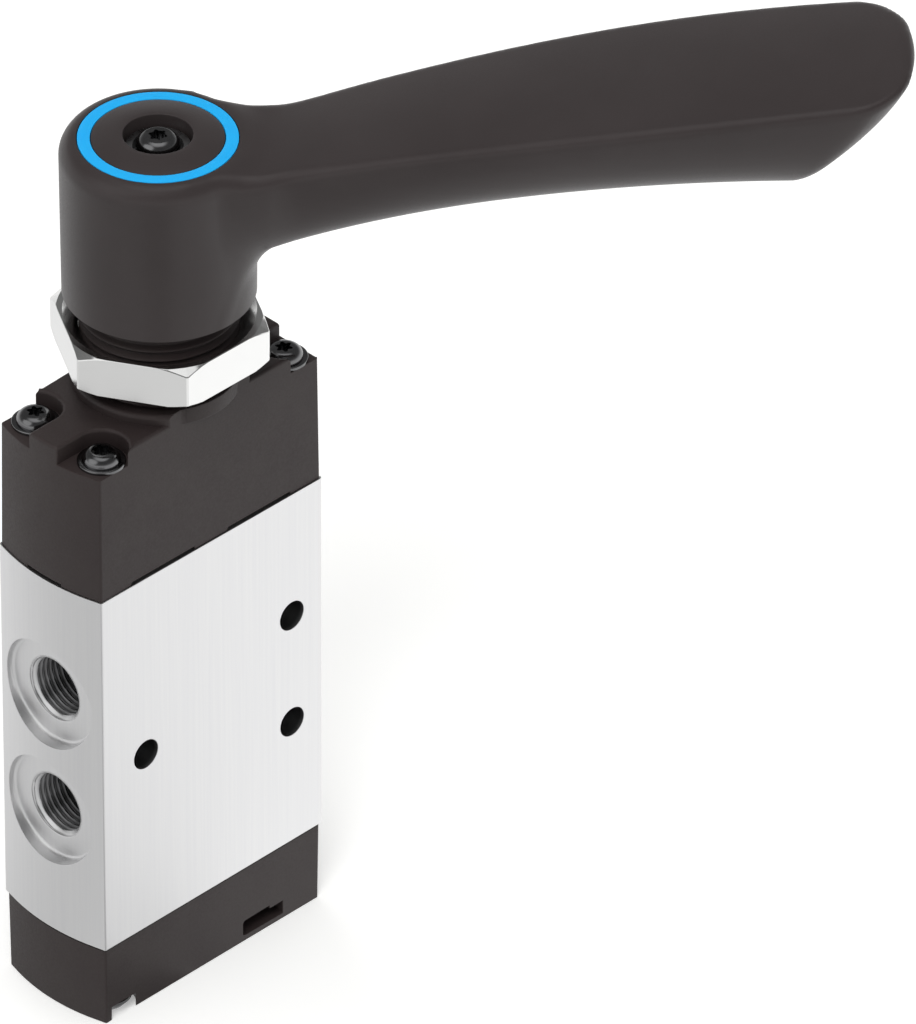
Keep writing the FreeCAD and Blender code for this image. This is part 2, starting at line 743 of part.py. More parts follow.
def arm_tip_outline():
    r = tip_corner_r
    far = 3 * hub_r
    x = arm_length - tip_bulge
    w = palm_half_width
    edges = [Part.makeLine(Vector(0, -far, 0), Vector(x - r, -far, 0)),
             Part.makeLine(Vector(x - r, -far, 0), Vector(x - r, -w, 0)),
             Part.Arc(Vector(x - r, -w, 0), Vector(x - r + r * math.sin(math.pi / 4),
                                                   -w + r - r * math.cos(math.pi / 4), 0),
                      Vector(x, -w + r, 0)).toShape(),
             Part.Arc(Vector(x, -w + r, 0), Vector(arm_length, 0, 0), Vector(x, w - r, 0)).toShape(),
             Part.Arc(Vector(x, w - r, 0), Vector(x - r + r * math.sin(math.pi / 4),
                                                  w - r + r * math.cos(math.pi / 4), 0),
                      Vector(x - r, w, 0)).toShape(),
             Part.makeLine(Vector(x - r, w, 0), Vector(x - r, far, 0)),
             Part.makeLine(Vector(x - r, far, 0), Vector(0, far, 0)),
             Part.makeLine(Vector(0, far, 0), Vector(0, -far, 0))]
    return Part.Face(Part.Wire(edges)).extrude(Vector(0, 0, 3 * hub_top))


def picked(shape, test):
    found = []
    for e in shape.Edges:
        if test(e, e.valueAt((e.FirstParameter + e.LastParameter) / 2)):
            found.append(e)
    return found


def on_crease(edge, middle):
    return middle.x > hub_r and abs(middle.z - arm_surface(middle.x, middle.y)) < edge_match


def on_hub_wall(edge, middle):
    beside = abs(math.hypot(middle.x, middle.y) - hub_r) < edge_match
    below_round = hub_bottom < middle.z < hub_top - hub_top_round
    return beside and below_round and not isinstance(edge.Curve, Part.Line)


def arm():
    step = (arm_length + arm_overrun - arm_start) / arm_stations
    sections = [arm_section(arm_start + i * step) for i in range(arm_stations + 1)]
    body = Part.makeLoft(sections, True, False).common(arm_tip_outline())
    body = body.makeFillet(crease_round, picked(body, on_crease))
    under = arm_top(arm_length) - arm_depth(arm_length) - past
    top = arm_top(arm_length) - tip_land
    near, far = arm_length + tip_cut_lead, arm_length + palm_half_width
    wedge = Part.makePolygon([Vector(near, 0, top), Vector(far, 0, top), Vector(far, 0, under),
                              Vector(arm_length - tip_cut_back, 0, under), Vector(near, 0, top)])
    wedge = Part.Face(wedge).extrude(Vector(0, 4 * hub_r, 0))
    wedge.translate(Vector(0, -2 * hub_r, 0))
    return body.cut(wedge)


# Moulded lever: hub, arm, the recesses in its top and the pocket for the insert.
def lever():
    hub = cylinder(hub_r, hub_bottom, hub_top)
    hub = hub.makeFillet(hub_top_round, [e for e in hub.Edges if e.BoundBox.ZMin > hub_top - 0.1])
    shape = fuse([hub, arm()])
    shape = shape.makeFillet(underside_sweep, picked(shape, on_hub_wall))
    recess = [cylinder(ring_r, hub_top - ring_height, hub_top + past),
              cylinder(cover_r, hub_top - cover_thickness, hub_top + past),
              cylinder(insert_r, hub_bottom - past, insert_top),
              cylinder(cover_hole_r, insert_top - past, hub_top + past)]
    shape = shape.cut(recess)
    shape.rotate(Vector(0, 0, 0), Vector(0, 0, 1), arm_angle)
    return shape


def lever_insert():
    half = square_side / 2 + square_gap
    hole = box(-half, half, -half, half, hub_bottom - past, insert_top + past)
    return cylinder(insert_r, hub_bottom + insert_lift, insert_top).cut(hole)


def lever_washer():
    floor = tube(washer_r, lever_screw_r + washer_gap, insert_top, washer_top)
    rim = tube(washer_r, washer_r - washer_rim, insert_top, washer_top + washer_rim_height)
    return fuse([floor, rim])


def lever_screw():
    return domed_screw(washer_top, lever_screw_r, lever_screw_length, lever_head_r, lever_head_side,
                       lever_head_r, lever_head_height - lever_head_side, lever_head_flat_r,
                       lever_drive_r, drive_depth)


# Round cover in the hub's top, slightly domed towards its hole.
def hub_cover():
    low = hub_top - cover_thickness
    disc = cylinder(cover_r, low, hub_top)
    dome = cone(cover_r, cover_hole_r, hub_top, hub_top + cover_dome)
    return fuse([disc, dome]).cut(cylinder(cover_hole_r, low - past, hub_top + 2 * past))


def marker_ring():
    return tube(ring_r, cover_r, hub_top - ring_height, hub_top + ring_proud)


def top_screws():
    screws = []
    for x, y in screw_places():
        screw = cover_screw(top_screw_length)
        screw.translate(Vector(x, y, pocket_floor))
        screws.append(screw)
    return Part.makeCompound(screws)


def end_screws():
    screws = []
    for x, y in end_screw_places():
        screw = cover_screw(end_screw_length)
        screw.rotate(Vector(0, 0, 0), Vector(1, 0, 0), 180)
        screw.translate(Vector(x, y, end_screw_seat()))
        screws.append(screw)
    return Part.makeCompound(screws)


save(valve_body(), "valve_body")
save(end_cap(), "end_cap")
save(gasket(end_cap_height, body_bottom, spring_bore_r, end_screw_places()), "end_gasket")
save(gasket(body_top, body_top + top_gasket_thickness, cavity_r, screw_places()), "top_gasket")
save(top_housing(), "top_housing")
save(panel_nut(), "panel_nut")
save(top_screws(), "top_screws")
save(end_screws(), "end_screws")
save(shaft_bush(), "shaft_bush")
save(shaft_seal(), "shaft_seal")
save(cam_washer(), "cam_washer")
save(slide_washer(), "slide_washer")
save(detent_spring(), "detent_spring")
save(spool_seals(), "spool_seals")
save(seal_spacers(), "seal_spacers")
save(bore_sleeve(), "bore_sleeve")
save(bore_spacer(), "bore_spacer")
save(return_spring(), "return_spring")
save(spool(), "spool")
save(spring_seat(), "spring_seat")
save(tappet(), "tappet")
save(roller_pin(), "roller_pin")
save(cam_shaft(), "cam_shaft")
save(lever(), "lever")
save(lever_insert(), "lever_insert")
save(lever_washer(), "lever_washer")
save(lever_screw(), "lever_screw")
save(hub_cover(), "hub_cover")
save(marker_ring(), "marker_ring")
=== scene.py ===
import bmesh
import bpy
import json
import math
import numpy as np
from mathutils import Matrix, Vector


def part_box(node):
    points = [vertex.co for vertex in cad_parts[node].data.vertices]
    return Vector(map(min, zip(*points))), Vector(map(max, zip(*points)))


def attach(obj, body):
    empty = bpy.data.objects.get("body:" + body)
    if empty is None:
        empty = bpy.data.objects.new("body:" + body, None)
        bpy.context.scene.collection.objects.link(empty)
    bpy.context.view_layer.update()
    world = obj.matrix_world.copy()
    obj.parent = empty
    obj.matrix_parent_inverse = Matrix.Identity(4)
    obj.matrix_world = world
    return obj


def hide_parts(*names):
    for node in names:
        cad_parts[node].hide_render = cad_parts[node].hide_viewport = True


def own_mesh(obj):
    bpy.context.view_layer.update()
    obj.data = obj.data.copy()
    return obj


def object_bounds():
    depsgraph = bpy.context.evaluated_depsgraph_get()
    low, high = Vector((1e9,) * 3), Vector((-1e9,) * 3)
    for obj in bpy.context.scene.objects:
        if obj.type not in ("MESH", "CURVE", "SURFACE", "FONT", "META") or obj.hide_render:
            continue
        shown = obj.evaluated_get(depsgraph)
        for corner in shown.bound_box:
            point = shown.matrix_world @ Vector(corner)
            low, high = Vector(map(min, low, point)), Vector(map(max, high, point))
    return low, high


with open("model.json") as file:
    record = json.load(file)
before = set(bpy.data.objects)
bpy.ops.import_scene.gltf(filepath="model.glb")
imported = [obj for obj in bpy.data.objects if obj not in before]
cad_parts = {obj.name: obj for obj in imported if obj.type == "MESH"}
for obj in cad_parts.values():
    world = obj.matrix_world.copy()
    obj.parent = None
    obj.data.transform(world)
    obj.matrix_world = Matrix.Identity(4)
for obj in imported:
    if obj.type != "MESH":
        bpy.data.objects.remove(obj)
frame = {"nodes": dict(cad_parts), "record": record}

# Hand lever air valve. Sizes are in mm and angles in degrees, unless a note says otherwise.
cadLow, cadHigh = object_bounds()
mm = 0.001
print("frame loaded,", len(frame["nodes"]), "nodes")


# sRGB hex to the linear colour that a socket takes
def hexColour(code):
    channels = [int(code[i:i + 2], 16) / 255 for i in (1, 3, 5)]
    return [c / 12.92 if c <= 0.04045 else ((c + 0.055) / 1.055) ** 2.4 for c in channels] + [1.0]


# one node: its settings, its own values, the sockets that feed it, and a ramp's stops
def addNode(tree, kind, settings=None, values=None, links=None, stops=None):
    node = tree.nodes.new("ShaderNode" + kind)
    for name, value in (settings or {}).items():
        setattr(node, name, value)
    for name, value in (values or {}).items():
        node.inputs[name].default_value = value
    for name, socket in (links or {}).items():
        tree.links.new(socket, node.inputs[name])
    if stops:
        first, last = node.color_ramp.elements
        first.position, first.color = stops[0]
        last.position, last.color = stops[-1]
        for at, colour in stops[1:-1]:
            node.color_ramp.elements.new(at).color = colour
    return node


# camera where the photo was taken from: a long lens, far away, looking down at the front left corner
cameraView = {
    "placeMm": (-1085.16, -1129.45, 1196.34),
    "azimuth": -45.335,
    "elevation": 35.682,
    "roll": 0.343,
    "lens": 496.8,
    "sensor": 36.0,
}


def makeCamera(view):
    azimuth, elevation = math.radians(view["azimuth"]), math.radians(view["elevation"])
    right = Vector((math.cos(azimuth), math.sin(azimuth), 0))
    back = Vector((math.sin(azimuth) * math.cos(elevation), -math.cos(azimuth) * math.cos(elevation),
                   math.sin(elevation)))
    up = back.cross(right)
    turn = Matrix((right, up, back)).transposed() @ Matrix.Rotation(math.radians(view["roll"]), 3, "Z")
    data = bpy.data.cameras.new("photoCamera")
    data.lens, data.sensor_width, data.sensor_fit = view["lens"], view["sensor"], "AUTO"
    data.clip_start, data.clip_end = 0.01, 20
    camera = bpy.data.objects.new("photoCamera", data)
    camera.matrix_world = Matrix.Translation(Vector(view["placeMm"]) * mm) @ turn.to_4x4()
    bpy.context.scene.collection.objects.link(camera)
    bpy.context.scene.camera = camera


makeCamera(cameraView)
bpy.context.scene.view_settings.view_transform = "Standard"
print("camera placed")

# soft studio: white all round the horizon, a soft box overhead and one to the left, dim between them
studio = {
    "floorSize": 6.0,              # metres, as all lengths of the studio
    "floorColour": "#f4f4f2",
    "floorGlow": (0.34, 0.75),     # near and far, seen by the camera alone, so that the lit floor reads white
    "glowReach": (0.5, 2.5),
    # how bright the floor looks in the metal, from its dull side to its bright side, and a dull strip
    "brightSide": (0.985, -0.174),
    "floorLevels": ((0.0, 0.56), (0.095, 0.67), (0.335, 0.9), (0.55, 0.74), (0.905, 1.0), (1.0, 1.02)),
    "floorShine": 1.15,
    "stripSide": (-0.69, -0.72),
    "stripLevel": 0.5,
    "stripEdge": (0.93, 0.98),     # cosines of its half width, outside and inside
    # how bright the sky looks in the metal, from the horizon up, and a soft box
    "skyLevels": ((0.1, 1.0), (0.32, 0.3), (0.5, 0.15), (0.86, 0.15), (0.95, 0.9), (1.0, 1.0)),
    "softBox": (-0.78, 0.21, 0.59),
    "softBoxEdge": (0.86, 0.93),
    "worldLight": 0.36,
    "lamps": {"key": {"place": (-1.15, -0.8, 1.95), "size": 1.0, "watts": 22},
              "top": {"place": (0.1, -0.1, 2.3), "size": 1.0, "watts": 10},
              "side": {"place": (1.5, -1.2, 1.0), "size": 1.0, "watts": 1.5},
              "rear": {"place": (0.6, 1.8, 1.0), "size": 1.2, "watts": 6}},
}


def greyStops(levels):
    return [(at, [level, level, level, 1.0]) for at, level in levels]


def makeFloor(look):
    half = look["floorSize"] / 2
    corners = [(x * half, y * half, 0) for x, y in ((-1, -1), (1, -1), (1, 1), (-1, 1))]
    mesh = bpy.data.meshes.new("studioFloor")
    mesh.from_pydata(corners, [], [(0, 1, 2, 3)])
    floor = bpy.data.objects.new("studioFloor", mesh)
    floor.location.z = cadLow.z - 0.05 * mm
    bpy.context.scene.collection.objects.link(floor)
    material = bpy.data.materials.new("paintedBoard")
    material.use_nodes = True
    tree = material.node_tree
    tree.nodes.clear()
    coords = addNode(tree, "TexCoord").outputs["Object"]
    rays = addNode(tree, "LightPath").outputs
    # what the camera sees
    board = addNode(tree, "BsdfDiffuse", values={"Color": hexColour(look["floorColour"])})
    away = addNode(tree, "VectorMath", {"operation": "LENGTH"}, links={0: coords})
    (start, end), (near, far) = look["glowReach"], look["floorGlow"]
    haze = addNode(tree, "MapRange", None, {"From Min": start, "From Max": end, "To Min": near, "To Max": far},
                   {"Value": away.outputs["Value"]})
    glow = addNode(tree, "Emission", values={"Color": hexColour("#ffffff")},
                   links={"Strength": haze.outputs["Result"]})
    lit = addNode(tree, "AddShader", links={0: board.outputs[0], 1: glow.outputs[0]})
    seen = addNode(tree, "MixShader", links={0: rays["Is Camera Ray"], 1: board.outputs[0], 2: lit.outputs[0]})
    # what the metal sees
    bearing = addNode(tree, "VectorMath", {"operation": "NORMALIZE"}, links={0: coords}).outputs[0]
    facing = addNode(tree, "VectorMath", {"operation": "DOT_PRODUCT"}, {1: (*look["brightSide"], 0)},
                     {0: bearing})
    share = addNode(tree, "MapRange", None, {"From Min": -1}, {"Value": facing.outputs["Value"]})
    level = addNode(tree, "ValToRGB", links={0: share.outputs["Result"]}, stops=greyStops(look["floorLevels"]))
    toStrip = addNode(tree, "VectorMath", {"operation": "DOT_PRODUCT"}, {1: (*look["stripSide"], 0)},
                      {0: bearing})
    start, end = look["stripEdge"]
    shine = addNode(tree, "MapRange", None,
                    {"From Min": start, "From Max": end, "To Min": look["floorShine"],
                     "To Max": look["floorShine"] * look["stripLevel"]}, {"Value": toStrip.outputs["Value"]})
    mirrored = addNode(tree, "Emission",
                       links={"Color": level.outputs["Color"], "Strength": shine.outputs["Result"]})
    glossy = addNode(tree, "Math", {"operation": "MAXIMUM"},
                     links={0: rays["Is Glossy Ray"], 1: rays["Is Transmission Ray"]})
    final = addNode(tree, "MixShader", links={0: glossy.outputs[0], 1: seen.outputs[0], 2: mirrored.outputs[0]})
    addNode(tree, "OutputMaterial", links={"Surface": final.outputs[0]})
    mesh.materials.append(material)


def makeWorld(look):
    world = bpy.data.worlds.new("softStudio")
    world.use_nodes = True
    bpy.context.scene.world = world
    tree = world.node_tree
    tree.nodes.clear()
    coords = addNode(tree, "TexCoord").outputs["Generated"]
    rays = addNode(tree, "LightPath").outputs
    # white to the camera, and a plain fill for the object
    strength = addNode(tree, "MapRange", None, {"To Min": look["worldLight"], "To Max": 1.0},
                       {"Value": rays["Is Camera Ray"]})
    plain = addNode(tree, "Background", values={"Color": hexColour("#ffffff")},
                    links={"Strength": strength.outputs["Result"]})
    # what the metal sees
    height = addNode(tree, "SeparateXYZ", links={0: coords})
    ramp = addNode(tree, "ValToRGB", links={0: height.outputs["Z"]}, stops=greyStops(look["skyLevels"]))
    toBox = addNode(tree, "VectorMath", {"operation": "DOT_PRODUCT"}, {1: look["softBox"]}, {0: coords})
    start, end = look["softBoxEdge"]
    box = addNode(tree, "MapRange", None, {"From Min": start, "From Max": end},
                  {"Value": toBox.outputs["Value"]})
    colour = addNode(tree, "Math", {"operation": "MAXIMUM"},
                     links={0: ramp.outputs["Color"], 1: box.outputs["Result"]})
    mirrored = addNode(tree, "Background", links={"Color": colour.outputs[0]})
    glossy = addNode(tree, "Math", {"operation": "MAXIMUM"},
                     links={0: rays["Is Glossy Ray"], 1: rays["Is Transmission Ray"]})
    sky = addNode(tree, "MixShader", links={0: glossy.outputs[0], 1: plain.outputs[0], 2: mirrored.outputs[0]})
    addNode(tree, "OutputWorld", links={"Surface": sky.outputs[0]})


def makeLamp(name, spec):
    data = bpy.data.lights.new(name, "AREA")
    data.shape, data.size, data.energy = "DISK", spec["size"], spec["watts"]
    lamp = bpy.data.objects.new(name, data)
    lamp.location = spec["place"]
    aim = (cadLow + cadHigh) / 2 - lamp.location
    lamp.rotation_euler = aim.to_track_quat("-Z", "Y").to_euler()
    lamp.visible_glossy = False       # the sheen comes from the wide surroundings alone
    bpy.context.scene.collection.objects.link(lamp)


makeFloor(studio)
makeWorld(studio)
for lampName, spec in studio["lamps"].items():
    makeLamp(lampName + "Lamp", spec)
print("studio lit")


# a bare principled material, and the coordinates on the object, in metres, that drive its patterns
def startMaterial(name, colour, metallic, roughness, more=None):
    material = bpy.data.materials.new(name)
    material.use_nodes = True
    tree = material.node_tree
    tree.nodes.clear()
    values = {"Base Color": hexColour(colour), "Metallic": metallic, "Roughness": roughness}
    values.update(more or {})
    shader = addNode(tree, "BsdfPrincipled", values=values)
    addNode(tree, "OutputMaterial", links={"Surface": shader.outputs["BSDF"]})
    coords = addNode(tree, "TexCoord").outputs["Object"]
    return material, tree, shader, coords


# scale of a noise whose features measure that many millimetres
def noiseScale(sizeMm):
    return 1 / (sizeMm * mm)


# Glass-filled polyamide, injection moulded in a spark-eroded tool: a near-black warm grey with a fine
# pebbled grain. The real grain is about 0.1 mm, and it is drawn coarser so that it shows. The finest pores
# swallow part of the sheen, so the index is below the plain resin's 1.53.
mouldedPolyamide = {"dark": "#322a2a", "light": "#37302f", "roughness": (0.46, 0.58), "grainMm": 0.32,
                    "mottleMm": 9.0, "grainDepthMm": 0.012, "relief": 0.6, "ior": 1.40}
# The lever's polyamide comes from a smoother tool, and hands have polished it a little.
handlePolyamide = {"dark": "#383232", "light": "#3c3636", "roughness": (0.33, 0.42), "grainMm": 0.26,
                   "mottleMm": 14.0, "grainDepthMm": 0.006, "relief": 0.6, "ior": 1.40}


def polyamide(name, look):
    low, high = look["roughness"]
    material, tree, shader, coords = startMaterial(name, look["dark"], 0.0, low, {"IOR": look["ior"]})
    mottle = addNode(tree, "TexNoise", None,
                     {"Scale": noiseScale(look["mottleMm"]), "Detail": 3.0, "Roughness": 0.55},
                     {"Vector": coords})
    colour = addNode(tree, "ValToRGB", links={0: mottle.outputs["Fac"]},
                     stops=[(0.3, hexColour(look["dark"])), (0.7, hexColour(look["light"]))])
    tree.links.new(colour.outputs["Color"], shader.inputs["Base Color"])
    grain = addNode(tree, "TexNoise", None,
                    {"Scale": noiseScale(look["grainMm"]), "Detail": 2.5, "Roughness": 0.55},
                    {"Vector": coords}).outputs["Fac"]
    sheen = addNode(tree, "MapRange", None, {"From Min": 0.3, "From Max": 0.7, "To Min": low, "To Max": high},
                    {"Value": grain})
    tree.links.new(sheen.outputs["Result"], shader.inputs["Roughness"])
    bump = addNode(tree, "Bump", None, {"Strength": look["relief"], "Distance": look["grainDepthMm"] * mm},
                   {"Height": grain})
    tree.links.new(bump.outputs["Normal"], shader.inputs["Normal"])
    return material


# Extruded aluminium, etched and clear anodised: a pale satin metal with faint lines along the extrusion.
# The die lines are about 0.1 mm wide and are drawn at 0.45 mm.
# The drilled holes get a painted shade that darkens them, more so the deeper they go.
anodisedAluminium = {
    "dark": "#e3e3e4", "light": "#e7e7e7", "roughness": (0.36, 0.42), "lineMm": 0.45, "lineLength": 60,
    "etchMm": 0.25, "depthMm": 0.0003, "relief": 0.5,
    # a hole's painted shade tones go in from its mouth (0) to its depth (1), the last one on to its end
    "port": {"radius": 4.95, "lip": 0.05, "depth": 8.0, "end": 9.5,
             "shadeTones": ((0.07, "#ffffff"), (0.12, "#a4a4a5"), (1.0, "#3c3c3c"))},
    "portMouths": ((21, 59.5), (21, 42.5), (21, 25.5), (-20.5, 52.35), (-20.5, 32.65)),
    "side": {"radius": 2.33, "lip": 0.05, "depth": 0.8, "end": 19.9, "shadeTones": ((1.0, "#b4b4b5"),)},
    "sideMouths": ((15.13, 51.57), (15.13, 33.43), (-12.88, 42.5)),
}


# how deep a point lies inside a round hole, from 0 outside it to 1 at the given depth and on to its end; it
# sets the painted shade in the holes
def insideHole(tree, coords, mouth, inward, hole):
    shift = addNode(tree, "VectorMath", {"operation": "SUBTRACT"}, {1: [c * mm for c in mouth]}, {0: coords})
    across = addNode(tree, "VectorMath", {"operation": "CROSS_PRODUCT"}, {1: inward}, {0: shift.outputs[0]})
    distance = addNode(tree, "VectorMath", {"operation": "LENGTH"}, links={0: across.outputs[0]})
    near = addNode(tree, "Math", {"operation": "LESS_THAN"}, {1: hole["radius"] * mm},
                   {0: distance.outputs["Value"]})
    along = addNode(tree, "VectorMath", {"operation": "DOT_PRODUCT"}, {1: inward},
                    {0: shift.outputs[0]}).outputs["Value"]
    sunk = addNode(tree, "MapRange", None, {"From Min": hole["lip"] * mm, "From Max": hole["depth"] * mm},
                   {"Value": along})
    within = addNode(tree, "Math", {"operation": "LESS_THAN"}, {1: hole["end"] * mm}, {0: along})
    inside = addNode(tree, "Math", {"operation": "MULTIPLY"}, links={0: near.outputs[0], 1: within.outputs[0]})
    return addNode(tree, "Math", {"operation": "MULTIPLY"},
                   links={0: inside.outputs[0], 1: sunk.outputs["Result"]})


def anodised(name, look):
    low, high = look["roughness"]
    material, tree, shader, coords = startMaterial(name, look["light"], 1.0, low)
    drawn = addNode(tree, "Mapping", values={"Scale": (1, 1, 1 / look["lineLength"])}, links={"Vector": coords})
    lines = addNode(tree, "TexNoise", None,
                    {"Scale": noiseScale(look["lineMm"]), "Detail": 3.0, "Roughness": 0.55},
                    {"Vector": drawn.outputs["Vector"]}).outputs["Fac"]
    etch = addNode(tree, "TexNoise", None,
                   {"Scale": noiseScale(look["etchMm"]), "Detail": 2.0, "Roughness": 0.55},
                   {"Vector": coords}).outputs["Fac"]
    colour = addNode(tree, "ValToRGB", links={0: lines},
                     stops=[(0.25, hexColour(look["dark"])), (0.7, hexColour(look["light"]))]).outputs["Color"]
    holes = [((x, 0, z), (-math.copysign(1, x), 0, 0), look["port"]) for x, z in look["portMouths"]]
    holes += [((x, -10, z), (0, 1, 0), look["side"]) for x, z in look["sideMouths"]]
    # the colour is darkened by each hole's painted shade, darker the deeper in
    for mouth, inward, hole in holes:
        sunk = insideHole(tree, coords, mouth, inward, hole)
        stops = [(at, hexColour(code)) for at, code in ((0.0, "#ffffff"), *hole["shadeTones"])]
        holeShade = addNode(tree, "ValToRGB", links={0: sunk.outputs[0]}, stops=stops)
        colour = addNode(tree, "VectorMath", {"operation": "MULTIPLY"},
                         links={0: colour, 1: holeShade.outputs["Color"]}).outputs[0]
    tree.links.new(colour, shader.inputs["Base Color"])
    satin = addNode(tree, "MapRange", None, {"From Min": 0.3, "From Max": 0.7, "To Min": low, "To Max": high},
                    {"Value": etch})
    tree.links.new(satin.outputs["Result"], shader.inputs["Roughness"])
    relief = addNode(tree, "Math", {"operation": "ADD"}, links={0: lines, 1: etch})
    bump = addNode(tree, "Bump", None, {"Strength": look["relief"], "Distance": look["depthMm"] * mm},
                   {"Height": relief.outputs[0]})
    tree.links.new(bump.outputs["Normal"], shader.inputs["Normal"])
    return material


# Metals that a lathe or a die has left with fine rings or lines. ringsMm is their spacing, drawn wider
# than the real 0.05 mm feed, and depthMm is how deep they are.
# Bright nickel: nearly white, with a soft mirror. Black oxide: dark and oily, on the same turned steel.
nickelPlate = {"dark": "#efefee", "light": "#f1f1f0", "roughness": (0.19, 0.21), "ringsMm": 0.30,
               "depthMm": 0.0001}
blackOxide = {"dark": "#717172", "light": "#7b7b7c", "roughness": (0.16, 0.20), "ringsMm": 0.25,
              "depthMm": 0.0001}
turnedSteel = {"dark": "#8f8f90", "light": "#a9a9aa", "roughness": (0.25, 0.38), "ringsMm": 0.25,
               "depthMm": 0.002}
springWire = {"dark": "#7d7d80", "light": "#99999c", "roughness": (0.22, 0.34), "ringsMm": 0.20,
              "depthMm": 0.001}
turnedBronze = {"dark": "#a97b40", "light": "#c2924f", "roughness": (0.28, 0.40), "ringsMm": 0.25,
                "depthMm": 0.002}
groundAluminium = {"dark": "#cfcfd0", "light": "#dcdcdc", "roughness": (0.2, 0.3), "ringsMm": 0.25,
                   "depthMm": 0.001}


def turnedMetal(name, look, cloudMm=1.6):
    low, high = look["roughness"]
    material, tree, shader, coords = startMaterial(name, look["light"], 1.0, low)
    ringScale = math.pi / 20 / (look["ringsMm"] * mm)        # a wave texture of scale 1 turns every pi / 10
    rings = addNode(tree, "TexWave", {"wave_type": "RINGS", "rings_direction": "Z", "wave_profile": "SIN"},
                    {"Scale": ringScale, "Distortion": 0.6, "Detail": 2.0, "Detail Scale": 0.4},
                    {"Vector": coords})
    cloud = addNode(tree, "TexNoise", None, {"Scale": noiseScale(cloudMm), "Detail": 3.0, "Roughness": 0.55},
                    {"Vector": coords}).outputs["Fac"]
    colour = addNode(tree, "ValToRGB", links={0: cloud},
                     stops=[(0.3, hexColour(look["dark"])), (0.65, hexColour(look["light"]))])
    tree.links.new(colour.outputs["Color"], shader.inputs["Base Color"])
    gloss = addNode(tree, "MapRange", None, {"From Min": 0.3, "From Max": 0.7, "To Min": low, "To Max": high},
                    {"Value": cloud})
    tree.links.new(gloss.outputs["Result"], shader.inputs["Roughness"])
    bump = addNode(tree, "Bump", None, {"Strength": 0.3, "Distance": look["depthMm"] * mm},
                   {"Height": rings.outputs["Fac"]})
    tree.links.new(bump.outputs["Normal"], shader.inputs["Normal"])
    return material


# Plain moulded pieces: acetal for the marker ring, the washers and spacers, nitrile rubber for the seals.
# Acetal is smooth and a little waxy, the rubber dull. Their fine tool grain is drawn at 0.3 to 0.4 mm.
blueAcetal = {"dark": "#0fb4ff", "light": "#12b9ff", "roughness": 0.45, "grainMm": 0.3, "depthMm": 0.002,
              "ior": 1.48}
paleAcetal = {"dark": "#d8d4c8", "light": "#e2dfd4", "roughness": 0.40, "grainMm": 0.3, "depthMm": 0.004,
              "ior": 1.48}
nitrile = {"dark": "#161616", "light": "#1f1f1f", "roughness": 0.72, "grainMm": 0.4, "depthMm": 0.010,
           "ior": 1.52}


def mouldedPlain(name, look, cloudMm=4.0):
    material, tree, shader, coords = startMaterial(name, look["light"], 0.0, look["roughness"],
                                                  {"IOR": look["ior"]})
    cloud = addNode(tree, "TexNoise", None, {"Scale": noiseScale(cloudMm), "Detail": 3.0, "Roughness": 0.55},
                    {"Vector": coords})
    colour = addNode(tree, "ValToRGB", links={0: cloud.outputs["Fac"]},
                     stops=[(0.3, hexColour(look["dark"])), (0.7, hexColour(look["light"]))])
    tree.links.new(colour.outputs["Color"], shader.inputs["Base Color"])
    grain = addNode(tree, "TexNoise", None,
                    {"Scale": noiseScale(look["grainMm"]), "Detail": 2.0, "Roughness": 0.55},
                    {"Vector": coords})
    bump = addNode(tree, "Bump", None, {"Strength": 0.4, "Distance": look["depthMm"] * mm},
                   {"Height": grain.outputs["Fac"]})
    tree.links.new(bump.outputs["Normal"], shader.inputs["Normal"])
    return material


finishes = {
    "body_aluminium": anodised("anodisedAluminium", anodisedAluminium),
    "housing_plastic": polyamide("mouldedPolyamide", mouldedPolyamide),
    "lever_plastic": polyamide("handlePolyamide", handlePolyamide),
    "ring_plastic": mouldedPlain("blueAcetal", blueAcetal),
    "nut_plating": turnedMetal("nickelPlate", nickelPlate),
    "screw_steel": turnedMetal("blackOxideSteel", blackOxide),
    "shaft_steel": turnedMetal("turnedSteel", turnedSteel),
    "spring_steel": turnedMetal("springWire", springWire),
    "spool_aluminium": turnedMetal("groundAluminium", groundAluminium),
    "bush_bronze": turnedMetal("turnedBronze", turnedBronze),
    "bearing_plastic": mouldedPlain("paleAcetal", paleAcetal),
    "rubber": mouldedPlain("nitrileRubber", nitrile),
}
slotOf = {part["node"]: part["material_slot"] for part in frame["record"]["subparts"]}
for nodeName, node in frame["nodes"].items():
    node.data.materials.clear()
    node.data.materials.append(finishes[slotOf[nodeName]])
print("materials made,", len(finishes))


# the mesh that one modifier makes of another
def withModifier(mesh, kind, settings):
    blank = bpy.data.objects.new("blank", mesh)
    bpy.context.scene.collection.objects.link(blank)
    step = blank.modifiers.new("step", kind)
    for name, value in settings.items():
        setattr(step, name, value)
    ready = blank.evaluated_get(bpy.context.evaluated_depsgraph_get())
    result = bpy.data.meshes.new_from_object(ready)
    bpy.data.objects.remove(blank)
    return result


# hands a finished mesh to a body, with its material slot and smooth shading up to an angle
def place(name, mesh, body, slot, sharpAngle=35, nodes=(), flatFaces=False):
    mesh.shade_smooth()
    mesh.set_sharp_from_angle(angle=math.radians(sharpAngle))
    if flatFaces:          # large faces stay flat up to their rounded edges
        mesh = withModifier(mesh, "WEIGHTED_NORMAL", {"weight": 100, "keep_sharp": True})
    mesh.name = name
    mesh.materials.clear()
    mesh.materials.append(finishes[slot])
    piece = bpy.data.objects.new(name, mesh)
    bpy.context.scene.collection.objects.link(piece)
    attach(piece, body)
    if nodes:
        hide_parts(*nodes)
    return piece


